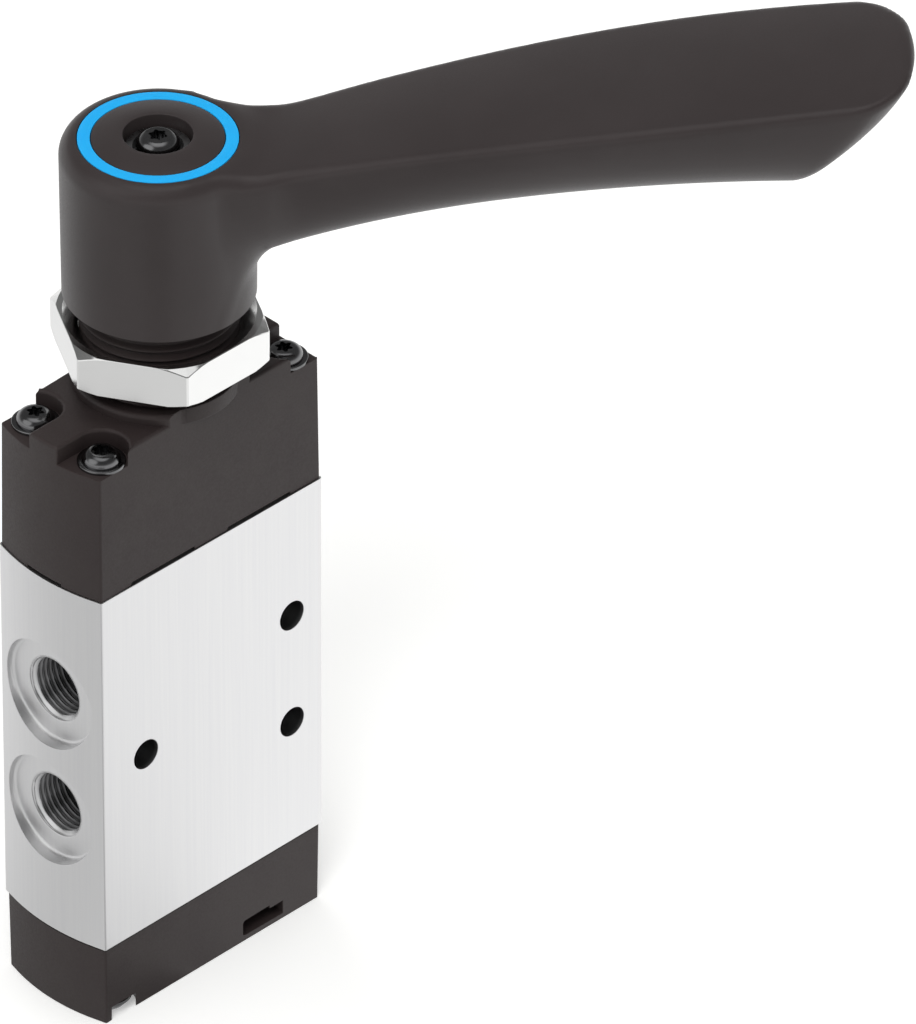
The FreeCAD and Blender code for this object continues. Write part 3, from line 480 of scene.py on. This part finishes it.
# closed mesh from points in mm and faces, with its normals turned outward
def closedMesh(name, points, faces):
    mesh = bpy.data.meshes.new(name)
    mesh.from_pydata([tuple(p) for p in points * mm], [], faces)
    work = bmesh.new()
    work.from_mesh(mesh)
    bmesh.ops.recalc_face_normals(work, faces=work.faces)
    work.to_mesh(mesh)
    work.free()
    return mesh


# closed mesh turned from (radius, height) pairs about the Z axis
def lathe(profile, sides=96):
    work = bmesh.new()
    turns = [2 * math.pi * i / sides for i in range(sides)]
    rings = []
    for r, z in profile:
        if r < 1e-6:
            rings.append([work.verts.new((0, 0, z * mm))] * sides)
        else:
            rings.append([work.verts.new((r * mm * math.cos(a), r * mm * math.sin(a), z * mm))
                          for a in turns])
    for a, b in zip(rings, rings[1:] + rings[:1]):
        for i in range(sides):
            corners = [a[i], a[(i + 1) % sides], b[(i + 1) % sides], b[i]]
            corners = [v for n, v in enumerate(corners) if v not in corners[:n]]
            if len(corners) > 2:
                work.faces.new(corners)
    bmesh.ops.recalc_face_normals(work, faces=work.faces)
    mesh = bpy.data.meshes.new("turned")
    work.to_mesh(mesh)
    work.free()
    return mesh


# cuts closed meshes out of another one
def cutAway(mesh, cutters):
    for cutter in cutters:
        tool = bpy.data.objects.new("tool", cutter)
        bpy.context.scene.collection.objects.link(tool)
        mesh = withModifier(mesh, "BOOLEAN", {"operation": "DIFFERENCE", "solver": "MANIFOLD", "object": tool})
        bpy.data.objects.remove(tool)
    return mesh


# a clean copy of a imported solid: welded, and its flat faces in one piece each
def solidCopy(nodeName):
    source = frame["nodes"][nodeName].data
    work = bmesh.new()
    verts = [work.verts.new(v.co) for v in source.vertices]
    for face in source.polygons:
        work.faces.new([verts[i] for i in face.vertices])
    bmesh.ops.remove_doubles(work, verts=work.verts, dist=0.001 * mm)
    bmesh.ops.dissolve_limit(work, angle_limit=math.radians(0.5), verts=work.verts, edges=work.edges)
    mesh = bpy.data.meshes.new(nodeName + "Copy")
    work.to_mesh(mesh)
    work.free()
    return mesh


# rounds the outward edges of a mesh that turn by more than the angle, those at one level more than the rest.
# Edges under 0.15 mm are facets of a curve and stay.
def breakEdges(mesh, width, angle=35, level=None, levelWidth=0):
    work = bmesh.new()
    work.from_mesh(mesh)
    bmesh.ops.remove_doubles(work, verts=work.verts, dist=0.001 * mm)
    bmesh.ops.dissolve_limit(work, angle_limit=math.radians(0.5), verts=work.verts, edges=work.edges)
    for offset, segments, high in ((levelWidth, 3, True), (width, 2, False)):
        if not offset:
            continue
        edges = [e for e in work.edges if e.is_manifold and e.is_convex and e.calc_length() > 0.15 * mm
                 and e.calc_face_angle(0) > math.radians(angle)
                 and high == (level is not None and all(abs(v.co.z - level * mm) < 0.01 * mm for v in e.verts))]
        bmesh.ops.bevel(work, geom=edges, offset=offset * mm, offset_type="OFFSET", segments=segments,
                        profile=0.5, affect="EDGES", clamp_overlap=False, miter_outer="ARC", loop_slide=True)
    work.to_mesh(mesh)
    work.free()
    return mesh


# thread as a closed sleeve on the Z axis: ridges on one wall, plain on the other. An outer thread runs out
# over its lead at both ends, and an inner one opens to a countersunk mouth.
def threadSleeve(thread):
    pitch, crest, root, wall = thread["pitch"], thread["crest"], thread["root"], thread["wall"]
    start, end, sides, perTurn = thread["start"], thread["end"], thread["sides"], thread["perTurn"]
    rows = int(round((end - start) / pitch * perTurn)) + 1
    heights = np.linspace(start, end, rows)
    turns = np.arange(sides) / sides
    phase = (heights[:, None] / pitch - turns[None, :]) % 1.0
    rise = np.clip(np.abs(2 * phase - 1) * 1.3 - 0.15, 0, 1)     # 0 in the root, 1 on the crest, small flats
    radius = root + (crest - root) * rise
    lead = np.minimum(heights - start, end - heights)[:, None]
    if crest > root:
        radius = np.minimum(radius, crest - thread["lead"] + lead)
    else:
        radius = np.maximum(radius, root + thread["mouth"] - (heights - start)[:, None])
    angle = 2 * math.pi * turns
    ridges = np.stack([radius * np.cos(angle), radius * np.sin(angle),
                       np.repeat(heights[:, None], sides, 1)], -1).reshape(-1, 3)
    plain = np.array([(wall * math.cos(a), wall * math.sin(a), z) for z in (start, end) for a in angle])
    faces = []
    lastRow, low, high = (rows - 1) * sides, rows * sides, (rows + 1) * sides
    for i in range(sides):
        j = (i + 1) % sides
        faces += [(k * sides + i, k * sides + j, (k + 1) * sides + j, (k + 1) * sides + i)
                  for k in range(rows - 1)]
        faces.append((low + i, high + i, high + j, low + j))
        faces.append((low + i, low + j, j, i))
        faces.append((lastRow + i, lastRow + j, high + j, high + i))
    return closedMesh("thread", np.concatenate([ridges, plain]), faces)


# turns what stands on the Z axis along another axis, and moves it to a place in metres
def axisTurn(origin, axis):
    return Matrix.Translation(origin) @ Vector(axis).to_track_quat("Z", "Y").to_matrix().to_4x4()


# Lever: u runs along the arm from the hub's axis, v across it, and z up
lever = {
    "hubRadius": (13.22, 13.40),       # at the bottom and at the top
    "hubBottom": 109.0, "hubTop": 133.46, "hubRound": 2.2,
    "neckAt": 19.0, "neckHalf": 9.15, "palmAt": 78.0, "palmHalf": 13.95, "palmEase": 0.05,
    "rootAt": 4.0, "rootEase": 4.0, "rootSpread": 0.128,           # the arm grows wider again into the hub
    "length": 101.15, "tipHeight": 147.75, "tipSlope": 0.085, "bow": 0.00105,
    "neckTop": 132.65, "bendEase": 0.5,
    "waistDepth": 12.05, "waistAt": 46.0, "depthGrowth": (0.0026, 0.0017), "crown": 0.047,
    "creaseRound": 1.2,
    "edgeBlend": (9.0, 22.0),          # from the hub's round edge to the arm's crease: start and length
    "topBlend": (11.3, 4.2),           # from the hub's flat top to the arm's rising one: start and length
    "rootFillet": (3.2, 6.3),          # beside the arm and under it
    "filletBlend": (2.0, 9.0),         # from the one to the other, below the arm's top: start and length
    "cornerRadius": 9.0, "tipBulge": 0.4, "tipLean": (0.5, 0.042), "tipRound": 0.7, "tipSpare": 0.3,
    "angle": -45.0, "cell": 0.55,
    "recess": ((10.99, 131.6), (9.04, 131.4), (4.75, 130.0)),      # radius and floor of each step
    "insert": (7.5, 130.1),            # radius and roof of the pocket from below
    "footEdge": (13.6, 13.0, 0.4),     # chamfer at the hub's foot: outer and inner radius, height
}


# inside both a and b, with the edge between them rounded
def roundedBoth(a, b, radius):
    beyond = np.hypot(np.maximum(a + radius, 0), np.maximum(b + radius, 0))
    return np.minimum(np.maximum(a, b), -radius) + beyond


# inside a or b, with a ball of that radius rolled along the hollow between them. turn is the cosine of the
# angle between the two surfaces' normals.
def filletedUnion(a, b, turn, radius):
    p, q = radius - a, radius - b
    spread = np.maximum(1 - turn ** 2, 0.03)
    held = (p - turn * q > 0) & (q - turn * p > 0) & (1 - turn ** 2 > 0.03)
    ball = radius - np.sqrt(np.maximum(p ** 2 + q ** 2 - 2 * turn * p * q, 0) / spread)
    return np.where(held, np.minimum(ball, np.minimum(a, b)), np.minimum(a, b))


# 0 up to 0 and 1 from 1 on, smooth between them
def softStep(x):
    x = np.clip(x, 0, 1)
    return x * x * (3 - 2 * x)


# the arm's half width and the height of its top, along its length
def armHalfWidth(u, s):
    share = (u - s["neckAt"]) / (s["palmAt"] - s["neckAt"])
    beyond = (share + np.sqrt(share ** 2 + s["palmEase"] ** 2)) / 2
    before = np.maximum(s["neckAt"] - np.maximum(u, s["rootAt"]), 0)
    return (s["neckHalf"] + s["rootSpread"] * before * np.minimum(before / s["rootEase"], 1)
            + (s["palmHalf"] - s["neckHalf"]) * np.sin(math.pi / 2 * np.minimum(beyond, 2)))


def armTop(u, s):
    left = s["length"] - u
    rise = s["tipHeight"] - s["tipSlope"] * left - s["bow"] * left ** 2
    gap = rise - s["neckTop"]
    return s["neckTop"] + (gap + np.sqrt(gap ** 2 + s["bendEase"])) / 2


# distance to the arm's flanks and underside, negative inside
def armDistance(u, v, z, s):
    half, top = armHalfWidth(u, s), armTop(u, s)
    before, beyond = s["depthGrowth"]
    depth = s["waistDepth"] + np.where(u < s["waistAt"], before, beyond) * (u - s["waistAt"]) ** 2
    across = (v / half) ** 2
    down = np.maximum(top - z, 0) / depth
    size = np.maximum(np.hypot(across, down), 1e-4)
    slope = np.hypot(across / size * 2 * np.abs(v) / half ** 2, down / size / depth)
    arm = np.where(size > 0.02, (size - 1) / np.maximum(slope, 1e-4), -half / 2)
    arm = np.maximum(arm, 5 - u)
    # the end follows its rounded outline and curves back under the top
    r, below = s["cornerRadius"], np.maximum(top - z, 0)
    lean, curl = s["tipLean"]
    end = s["length"] - s["tipBulge"] * np.minimum((v / (s["palmHalf"] - r)) ** 2, 1)
    du, dv = u + (lean + curl * below) * below - (end - r), np.abs(v) - (half + s["tipSpare"] - r)
    tip = np.minimum(np.maximum(du, dv), 0) + np.hypot(np.maximum(du, 0), np.maximum(dv, 0)) - r
    steep = np.where(du > dv, np.hypot(1, lean + 2 * curl * below), 1)
    return roundedBoth(arm, tip / steep, s["tipRound"])


# distance to the whole lever but for its recesses and its foot
def leverDistance(u, v, z, s):
    rho = np.maximum(np.hypot(u, v), 1e-3)
    low, high = s["hubRadius"]
    hub = rho - (low + (high - low) * (z - s["hubBottom"]) / (s["hubTop"] - s["hubBottom"]))
    arm = armDistance(u, v, z, s)
    step = 0.05
    along, aside, up = [(armDistance(u + step * a, v + step * b, z + step * c, s) - arm) / step
                        for a, b, c in ((1, 0, 0), (0, 1, 0), (0, 0, 1))]
    steep = np.maximum(np.sqrt(along ** 2 + aside ** 2 + up ** 2), 0.1)
    half, top = armHalfWidth(u, s), armTop(u, s)
    beside, below = s["rootFillet"]
    start, over = s["filletBlend"]
    radius = beside + (below - beside) * softStep((top - z - start) / over)
    whole = filletedUnion(hub, arm, (along * u + aside * v) / rho / steep, radius)
    start, over = s["topBlend"]
    reach = softStep((rho - start) / over)
    crown = s["crown"] * half * np.clip(u / s["neckAt"], 0, 1) * (1 - np.minimum((v / half) ** 2, 1))
    cap = z - (s["hubTop"] * (1 - reach) + (top + crown) * reach)
    start, over = s["edgeBlend"]
    edge = s["hubRound"] + (s["creaseRound"] - s["hubRound"]) * softStep((u - start) / over)
    whole = roundedBoth(whole, cap, edge)
    return np.maximum(whole, s["hubBottom"] - 1.5 - z)       # some length to spare for cutting the foot


# skins a distance function on a grid: one point per crossed cell, then pulled onto the true surface
def skin(distance, low, high, cell):
    axes = [np.arange(a, b + cell, cell) for a, b in zip(low, high)]
    grid = np.meshgrid(*axes, indexing="ij")
    value = distance(*grid)
    shape = tuple(n - 1 for n in value.shape)
    total, hits = np.zeros(shape + (3,)), np.zeros(shape)

    def part(array, offset):
        return array[tuple(slice(o, o + n) for o, n in zip(offset, shape))]

    for axis in range(3):
        others = [a for a in range(3) if a != axis]
        for i in (0, 1):
            for j in (0, 1):
                near = [0, 0, 0]
                near[others[0]], near[others[1]] = i, j
                far = list(near)
                far[axis] = 1
                a, b = part(value, near), part(value, far)
                crossed = (a < 0) != (b < 0)
                share = np.where(crossed, a / np.where(crossed, a - b, 1), 0)
                for k in range(3):
                    p, q = part(grid[k], near), part(grid[k], far)
                    total[..., k] += np.where(crossed, p + share * (q - p), 0)
                hits += crossed
    active = hits > 0
    points = total[active] / hits[active][:, None]
    number = np.full(shape, -1)
    number[active] = np.arange(len(points))
    faces = []
    inside = value < 0
    for axis in range(3):
        b, c = (axis + 1) % 3, (axis + 2) % 3
        first = [slice(1, -1)] * 3
        second = [slice(1, -1)] * 3
        first[axis], second[axis] = slice(0, -1), slice(1, None)
        start, stop = inside[tuple(first)], inside[tuple(second)]
        for flip, where in ((False, start & ~stop), (True, ~start & stop)):
            places = np.argwhere(where)
            places[:, [b, c]] += 1
            ring = []
            for db, dc in ((0, 0), (-1, 0), (-1, -1), (0, -1)):
                cellAt = places.copy()
                cellAt[:, b] += db
                cellAt[:, c] += dc
                ring.append(number[cellAt[:, 0], cellAt[:, 1], cellAt[:, 2]])
            faces.append(np.stack(ring[::-1] if flip else ring, 1))
    reach = 0.02
    for _ in range(5):
        d = distance(*points.T)
        slope = np.stack([(distance(*(points + step).T) - distance(*(points - step).T)) / (2 * reach)
                          for step in np.eye(3) * reach], 1)
        move = (d / np.maximum((slope ** 2).sum(1), 0.05))[:, None] * slope
        points -= np.clip(move, -0.3, 0.3)
    return points, np.concatenate(faces)


def makeLever(s):
    base, over = s["hubBottom"], s["hubTop"] + 2
    points, faces = skin(lambda u, v, z: leverDistance(u, v, z, s), (-15.0, -16.0, base - 3),
                         (s["length"] + 1.5, 16.0, s["tipHeight"] + 2.5), s["cell"])
    cutters = [lathe([(0, z), (r, z), (r, over), (0, over)], 128) for r, z in s["recess"]]
    outer, inner, rise = s["footEdge"]
    cutters.append(lathe([(0, base - 4), (15, base - 4), (15, base + rise), (outer, base + rise),
                          (inner, base), (0, base)], 160))
    r, z = s["insert"]
    cutters.append(lathe([(0, base - 1), (r, base - 1), (r, z), (0, z)], 96))
    mesh = cutAway(closedMesh("leverMoulding", points, faces.tolist()), cutters)
    mesh.transform(Matrix.Rotation(math.radians(s["angle"]), 4, "Z"))
    place("leverMoulding", mesh, "hand_lever", "lever_plastic", 40, ["lever"])


makeLever(lever)
print("lever made")

# Ring and cover in the hub's top
hubTop = {
    "ring": {"inner": 9.13, "outer": 10.86, "low": 131.6, "top": 133.48, "round": 0.05},
    "cover": {"outer": 9.01, "hole": 4.75, "low": 131.4, "edge": 133.47, "top": 134.0, "round": 0.05,
              "lip": 0.12},
}


# points of a profile's rounded corner
def cornerArc(cx, cz, radius, start, end, steps=4):
    turns = [math.radians(start + (end - start) * i / steps) for i in range(steps + 1)]
    return [(cx + radius * math.cos(a), cz + radius * math.sin(a)) for a in turns]


def makeHubTop(spec):
    s = spec["ring"]
    r = s["round"]
    profile = [(s["inner"], s["low"]), (s["outer"], s["low"])]
    profile += cornerArc(s["outer"] - r, s["top"] - r, r, 0, 90)
    profile += cornerArc(s["inner"] + r, s["top"] - r, r, 90, 180)
    place("markerRing", lathe(profile, 160), "hand_lever", "ring_plastic", 50, ["marker_ring"])
    s = spec["cover"]
    r, lip = s["round"], s["lip"]
    profile = [(s["hole"], s["low"]), (s["outer"], s["low"])]
    profile += cornerArc(s["outer"] - r, s["edge"] - r, r, 0, 80)
    for i in range(1, 6):      # shallow dome up to the hole's lip
        share = i / 6
        profile.append((s["outer"] - r + (s["hole"] + lip - s["outer"] + r) * share,
                        s["edge"] + (s["top"] - s["edge"]) * math.sin(math.pi / 2 * share)))
    profile += cornerArc(s["hole"] + lip, s["top"] - lip, lip, 90, 180)
    place("hubCover", lathe(profile, 160), "hand_lever", "lever_plastic", 50, ["hub_cover"])


makeHubTop(hubTop)
print("hub top made")

# Housing: edges as a mould leaves them, and the collar turned down for the thread's sleeve
housing = {"edge": 0.2, "topEdge": 0.5, "flatTop": 94.7, "collarRoot": 10.0, "collarClear": 12.5,
           "collar": (96.22, 108.7)}
collarThread = {"pitch": 1.5, "crest": 10.98, "root": 10.12, "wall": 9.95, "lead": 0.9,
                "start": 96.18, "end": 108.55, "sides": 128, "perTurn": 12}


def makeHousing(s, thread):
    low, high = s["collar"]
    root, clear = s["collarRoot"], s["collarClear"]
    shave = lathe([(root, low), (clear, low), (clear, high), (root, high)], 128)
    mesh = breakEdges(cutAway(solidCopy("top_housing"), [shave]), s["edge"], 35, s["flatTop"], s["topEdge"])
    place("topHousing", mesh, "valve", "housing_plastic", 35, ["top_housing"], True)
    place("collarThread", threadSleeve(thread), "valve", "housing_plastic", 60)


makeHousing(housing, collarThread)
print("housing made")

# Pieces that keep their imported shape, with their edges broken. The cap's top lies a little lower than the
# packed one, for the dark reveal under the body.
softened = {
    "endCap": {"node": "end_cap", "edge": 0.1, "body": "valve", "slot": "housing_plastic", "sharp": 35,
               "top": 12.8, "reveal": 0.2},
    "valveBody": {"node": "valve_body", "edge": 0.14, "body": "valve", "slot": "body_aluminium", "sharp": 35},
    "leverScrew": {"node": "lever_screw", "edge": 0.08, "body": "hand_lever", "slot": "screw_steel",
                   "sharp": 40},
}


def makeSoftened(name, s):
    mesh = solidCopy(s["node"])
    if "reveal" in s:
        for vertex in mesh.vertices:
            if abs(vertex.co.z - s["top"] * mm) < 0.01 * mm:
                vertex.co.z -= s["reveal"] * mm
    place(name, breakEdges(mesh, s["edge"]), s["body"], s["slot"], s["sharp"], [s["node"]], True)


for pieceName, spec in softened.items():
    makeSoftened(pieceName, spec)
print("edges broken")


def makeReturnSpring():
    piece = place("returnSpring", solidCopy("return_spring"), "valve", "spring_steel", 40, ["return_spring"])
    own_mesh(piece)


makeReturnSpring()
print("return spring made")

# Cover screws: a flange under a rounded head with a six-lobe socket, and the shank below. The packed
# screws give their places, through the radius of their own flange.
screw = {"packedFlange": 3.35, "shank": 1.45, "flange": 3.33, "flangeHeight": 0.45, "flangeRound": 0.14,
         "dome": 2.68, "height": 1.88, "flat": 1.3, "socket": 1.25, "lobes": 0.17, "socketDepth": 1.1}


def makeScrews(s):
    low, high = [[c / mm for c in corner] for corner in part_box("top_screws")]
    far, wide = high[0] - s["packedFlange"], high[1] - s["packedFlange"]
    bottom, top, seat = low[2], high[2], high[2] - s["height"]
    rim, corner = s["flangeHeight"], s["flangeRound"]
    profile = [(0, bottom), (s["shank"], bottom), (s["shank"], seat), (s["flange"], seat)]
    profile += cornerArc(s["flange"] - corner, seat + rim - corner, corner, 0, 90, 3)
    for step in range(9):
        turn = math.radians(90 * step / 8)
        profile.append((s["flat"] + (s["dome"] - s["flat"]) * math.cos(turn),
                        seat + rim + (s["height"] - rim) * math.sin(turn)))
    profile.append((0, top))
    floor = top - s["socketDepth"]
    socket = lathe([(0, floor), (1, floor), (1, top + 1), (0, top + 1)], 96)
    for vertex in socket.vertices:       # pulls the round plug in between its six lobes
        wave = 1 - s["lobes"] + s["lobes"] * math.cos(6 * math.atan2(vertex.co.y, vertex.co.x))
        vertex.co.x *= s["socket"] * wave
        vertex.co.y *= s["socket"] * wave
    head = cutAway(lathe(profile, 72), [socket])
    work = bmesh.new()
    for x in (-far, far):
        for y in (-wide, wide):
            copy = head.copy()
            copy.transform(Matrix.Translation(Vector((x, y, 0)) * mm))
            work.from_mesh(copy)
    mesh = bpy.data.meshes.new("screws")
    work.to_mesh(mesh)
    work.free()
    place("topScrews", mesh, "valve", "screw_steel", 40, ["top_screws"])


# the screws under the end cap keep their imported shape
endScrews = {"node": "end_screws", "edge": 0.08, "body": "valve", "slot": "screw_steel", "sharp": 40}
makeScrews(screw)
makeSoftened("endScrews", endScrews)
print("screws made")

# Panel nut: hexagon whose corners were turned to a chamfer, with a wide countersink
nut = {"flats": 26.8, "cornerRadius": 15.38, "bottom": 99.2, "top": 105.3, "edge": 0.09, "perFlat": 14,
       "topDrop": 0.8, "bottomDrop": 0.65, "slope": 30.0,          # of the chamfered corners
       "boreRadius": 11.06, "boreEdge": 0.3, "sinkRadius": 13.2, "sinkDepth": 1.9}


def makeNut(s):
    apothem, edge, bore = s["flats"] / 2, s["edge"], s["boreRadius"]
    full = math.degrees(math.acos(apothem / s["cornerRadius"]))
    spread = np.append(np.linspace(-full, full, s["perFlat"]), 30.0)
    angles = np.radians(np.concatenate([60 * k + 30 + spread for k in range(6)]))
    outer = np.minimum(apothem / np.cos(np.radians(np.tile(spread, 6))), s["cornerRadius"])
    tangent, corner = math.tan(math.radians(s["slope"])), apothem / math.cos(math.radians(30))
    profile = [(bore, s["bottom"] + s["boreEdge"]), (bore, s["top"] - s["sinkDepth"]),
               (s["sinkRadius"] - edge, s["top"] - edge), (s["sinkRadius"], s["top"])]
    for level, drop, way in ((s["top"], s["topDrop"], -1), (s["bottom"], s["bottomDrop"], 1)):
        start = corner - drop / tangent        # the chamfer's cone begins here
        cone = [(np.minimum(start, outer - edge), level),
                (outer - edge, level + way * np.maximum(outer - edge - start, 0) * tangent),
                (outer, level + way * np.maximum(outer - start, 0) * tangent + way * edge)]
        profile += cone if way < 0 else cone[::-1]
    profile.append((bore + s["boreEdge"], s["bottom"]))
    rings = [np.stack([r * np.cos(angles), r * np.sin(angles), z + 0 * angles], 1) for r, z in profile]
    count, sides = len(rings), len(angles)
    faces = [(k * sides + i, k * sides + (i + 1) % sides, (k + 1) % count * sides + (i + 1) % sides,
              (k + 1) % count * sides + i) for k in range(count) for i in range(sides)]
    mesh = closedMesh("panelNut", np.concatenate(rings), faces)
    place("panelNut", mesh, "valve", "nut_plating", 25, ["panel_nut"], True)


makeNut(nut)
print("nut made")

# Spot faces: the cutter's rounded corner, between the flat and its wall
spotFace = {"radius": 8.3, "plane": -20.5, "round": 0.6, "heights": (32.65, 52.35), "lap": 0.02}


def makeSpotFaceRims(s):
    r, lap = s["round"], s["lap"]
    profile = [(s["radius"] - r, -lap), (s["radius"] + lap, -lap), (s["radius"] + lap, r)]
    profile += [(s["radius"] - r + r * math.sin(math.radians(a)), r - r * math.cos(math.radians(a)))
                for a in (85, 70, 55, 40, 25, 12)]
    for height in s["heights"]:
        mesh = lathe(profile, 128)
        mesh.transform(axisTurn((s["plane"] * mm, 0, height * mm), (-1, 0, 0)))
        place("spotFaceRim_%d" % round(height), mesh, "valve", "body_aluminium", 60)


makeSpotFaceRims(spotFace)
print("spot faces rounded")

# Port threads: sleeves inside the bores, with the countersunk mouth
portThread = {"pitch": 0.907, "crest": 4.283, "root": 4.80, "wall": 4.86, "start": 0.02, "end": 8.4,
              "sides": 72, "perTurn": 10, "mouth": 0.15}
for mount in frame["record"]["mounts"]:
    if mount["kind"] == "threaded_hole":
        sleeve = threadSleeve(portThread)
        sleeve.transform(axisTurn(mount["pos_m"], [-c for c in mount["axis"]]))
        place("thread_" + mount["name"], sleeve, "valve", "body_aluminium", 60)
print("port threads made")
